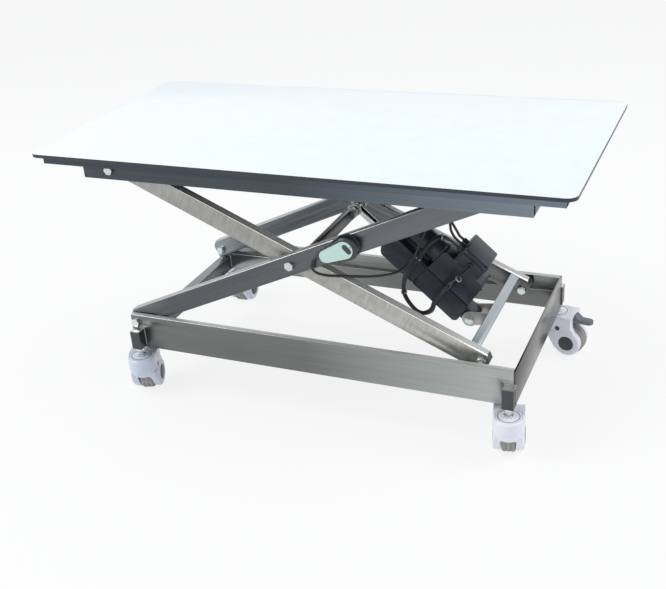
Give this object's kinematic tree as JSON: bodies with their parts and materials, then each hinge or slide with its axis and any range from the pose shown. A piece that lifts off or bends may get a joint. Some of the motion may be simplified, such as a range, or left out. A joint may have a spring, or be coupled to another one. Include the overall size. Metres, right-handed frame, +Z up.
{
  "type": "veterinary surgery table",
  "caption": "Veterinary surgery table on four castors, with an electric scissor lift and a hand control.",
  "frame": {"origin": "on the floor under the middle of the tabletop", "axes": "+X along the table to the right, +Y to the rear, +Z up"},
  "size_m": [1.2, 0.635, 0.625],
  "materials": {
    "steel": "brushed",
    "bright": "polished",
    "dark_steel": "brushed",
    "lilac": "satin",
    "charcoal": "matte",
    "black": "satin",
    "tyre": "matte",
    "board": "gloss",
    "mint": "gloss",
    "motor": "satin",
    "cable": "matte"
  },
  "bodies": {
    "base": {"base_rail_front": "steel", "base_rail_rear": "steel", "base_left_tube": "bright", "base_right_plate": "bright", "castor_posts": "dark_steel", "castor_stems": "bright", "base_pivot_bolts": "bright"},
    "outer_arms": {"outer_arm_front": "steel", "outer_arm_rear": "steel", "push_crossbar": "steel", "rod_bracket": "dark_steel", "centre_bolts": "bright", "upper_axles": "bright", "hand_shell": "black", "hand_face": "mint", "hand_cord": "cable"},
    "inner_arms": {"inner_arm_front": "steel", "inner_arm_rear": "steel", "low_crossbar": "bright", "tail_bracket": "dark_steel", "tail_pin": "bright", "lower_axles": "bright"},
    "table": {"table_board": "board", "top_frame": "dark_steel", "top_channel_front": "steel", "top_channel_rear": "steel", "top_cross_members": "dark_steel", "top_pivot_bolts": "bright"},
    "actuator_barrel": {"act_housing": "black", "act_motor": "motor", "act_control_box": "black", "act_tube": "motor", "act_cables": "cable"},
    "actuator_rod": {"act_rod": "bright"},
    "rocker": {"hand_rocker": "charcoal"},
    "wheel_base_front": {"roller_base_front": "black"},
    "wheel_base_rear": {"roller_base_rear": "black"},
    "wheel_top_front": {"roller_top_front": "black"},
    "wheel_top_rear": {"roller_top_rear": "black"},
    "fl_fork": {"fl_housing": "lilac", "fl_caps": "charcoal"},
    "fl_wheel": {"fl_core": "charcoal", "fl_tyre": "tyre"},
    "fl_brake": {"fl_pedal": "charcoal"},
    "fr_fork": {"fr_housing": "lilac", "fr_caps": "charcoal"},
    "fr_wheel": {"fr_core": "charcoal", "fr_tyre": "tyre"},
    "fr_brake": {"fr_pedal": "charcoal"},
    "rl_fork": {"rl_housing": "lilac", "rl_caps": "charcoal"},
    "rl_wheel": {"rl_core": "charcoal", "rl_tyre": "tyre"},
    "rl_brake": {"rl_pedal": "charcoal"},
    "rr_fork": {"rr_housing": "lilac", "rr_caps": "charcoal"},
    "rr_wheel": {"rr_core": "charcoal", "rr_tyre": "tyre"},
    "rr_brake": {"rr_pedal": "charcoal"}
  },
  "joints": [
    {"name": "lift_fold", "type": "hinge", "parent": "base", "child": "outer_arms", "pos_m": [-0.443, 0, 0.189], "axis": [0, -1, 0], "range_deg": [-11, 21], "deforming": ["hand_cord"]},
    {"name": "scissor_centre", "type": "hinge", "parent": "outer_arms", "child": "inner_arms", "pos_m": [-0.02396, 0, 0.38175], "axis": [0, -1, 0], "range_deg": [-42.5, 22.5]},
    {"name": "table_pivot", "type": "hinge", "parent": "inner_arms", "child": "table", "pos_m": [-0.443, 0, 0.5745], "axis": [0, -1, 0], "range_deg": [-11.5, 21.5]},
    {"name": "actuator_tail", "type": "hinge", "parent": "inner_arms", "child": "actuator_barrel", "pos_m": [0.32196, 0, 0.20103], "axis": [0, -1, 0], "range_deg": [-1, 1]},
    {"name": "actuator_stroke", "type": "slide", "parent": "actuator_barrel", "child": "actuator_rod", "axis": [-0.7483, 0, 0.6634], "range_m": [-0.036, 0.066]},
    {"name": "roll_base_front", "type": "hinge", "parent": "inner_arms", "child": "wheel_base_front", "pos_m": [0.39509, -0.223, 0.189], "axis": [0, -1, 0], "continuous": true},
    {"name": "roll_base_rear", "type": "hinge", "parent": "inner_arms", "child": "wheel_base_rear", "pos_m": [0.39509, 0.223, 0.189], "axis": [0, -1, 0], "continuous": true},
    {"name": "roll_top_front", "type": "hinge", "parent": "outer_arms", "child": "wheel_top_front", "pos_m": [0.39509, -0.223, 0.5745], "axis": [0, -1, 0], "continuous": true},
    {"name": "roll_top_rear", "type": "hinge", "parent": "outer_arms", "child": "wheel_top_rear", "pos_m": [0.39509, 0.223, 0.5745], "axis": [0, -1, 0], "continuous": true},
    {"name": "fl_swivel", "type": "hinge", "parent": "base", "child": "fl_fork", "pos_m": [-0.435, -0.244, 0.08], "axis": [0, 0, 1], "continuous": true},
    {"name": "fl_roll", "type": "hinge", "parent": "fl_fork", "child": "fl_wheel", "pos_m": [-0.44731, -0.21017, 0.0375], "axis": [-0.9397, -0.342, 0], "continuous": true},
    {"name": "fl_brake_tilt", "type": "hinge", "parent": "fl_fork", "child": "fl_brake", "pos_m": [-0.44858, -0.20669, 0.0902], "axis": [-0.9397, -0.342, 0], "range_deg": [0, 12]},
    {"name": "fr_swivel", "type": "hinge", "parent": "base", "child": "fr_fork", "pos_m": [0.4685, -0.244, 0.08], "axis": [0, 0, 1], "continuous": true},
    {"name": "fr_roll", "type": "hinge", "parent": "fr_fork", "child": "fr_wheel", "pos_m": [0.46102, -0.20879, 0.0375], "axis": [-0.9781, -0.2079, 0], "continuous": true},
    {"name": "fr_brake_tilt", "type": "hinge", "parent": "fr_fork", "child": "fr_brake", "pos_m": [0.46025, -0.20517, 0.0902], "axis": [-0.9781, -0.2079, 0], "range_deg": [0, 12]},
    {"name": "rl_swivel", "type": "hinge", "parent": "base", "child": "rl_fork", "pos_m": [-0.435, 0.244, 0.08], "axis": [0, 0, 1], "continuous": true},
    {"name": "rl_roll", "type": "hinge", "parent": "rl_fork", "child": "rl_wheel", "pos_m": [-0.43626, 0.27998, 0.0375], "axis": [-0.9994, -0.0349, 0], "continuous": true},
    {"name": "rl_brake_tilt", "type": "hinge", "parent": "rl_fork", "child": "rl_brake", "pos_m": [-0.43639, 0.28368, 0.0902], "axis": [-0.9994, -0.0349, 0], "range_deg": [0, 12]},
    {"name": "rr_swivel", "type": "hinge", "parent": "base", "child": "rr_fork", "pos_m": [0.4685, 0.244, 0.08], "axis": [0, 0, 1], "continuous": true},
    {"name": "rr_roll", "type": "hinge", "parent": "rr_fork", "child": "rr_wheel", "pos_m": [0.50395, 0.23775, 0.0375], "axis": [0.1736, 0.9848, 0], "continuous": true},
    {"name": "rr_brake_tilt", "type": "hinge", "parent": "rr_fork", "child": "rr_brake", "pos_m": [0.5076, 0.23711, 0.0902], "axis": [0.1736, 0.9848, 0], "range_deg": [0, 12]},
    {"name": "hand_rocker_tilt", "type": "hinge", "parent": "outer_arms", "child": "rocker", "pos_m": [0.12427, -0.23687, 0.44761], "axis": [0.7199, 0, 0.6941], "range_deg": [-5, 5], "stiffness_Nm_per_rad": 0.05}
  ],
  "couplings": [
    {"joint": "scissor_centre", "follows": "lift_fold", "ratio": -2},
    {"joint": "table_pivot", "follows": "lift_fold", "ratio": 1},
    {"joint": "actuator_tail", "follows": "lift_fold", "ratio": 0.02},
    {"joint": "actuator_stroke", "follows": "lift_fold", "m_per_rad": 0.174}
  ]
}
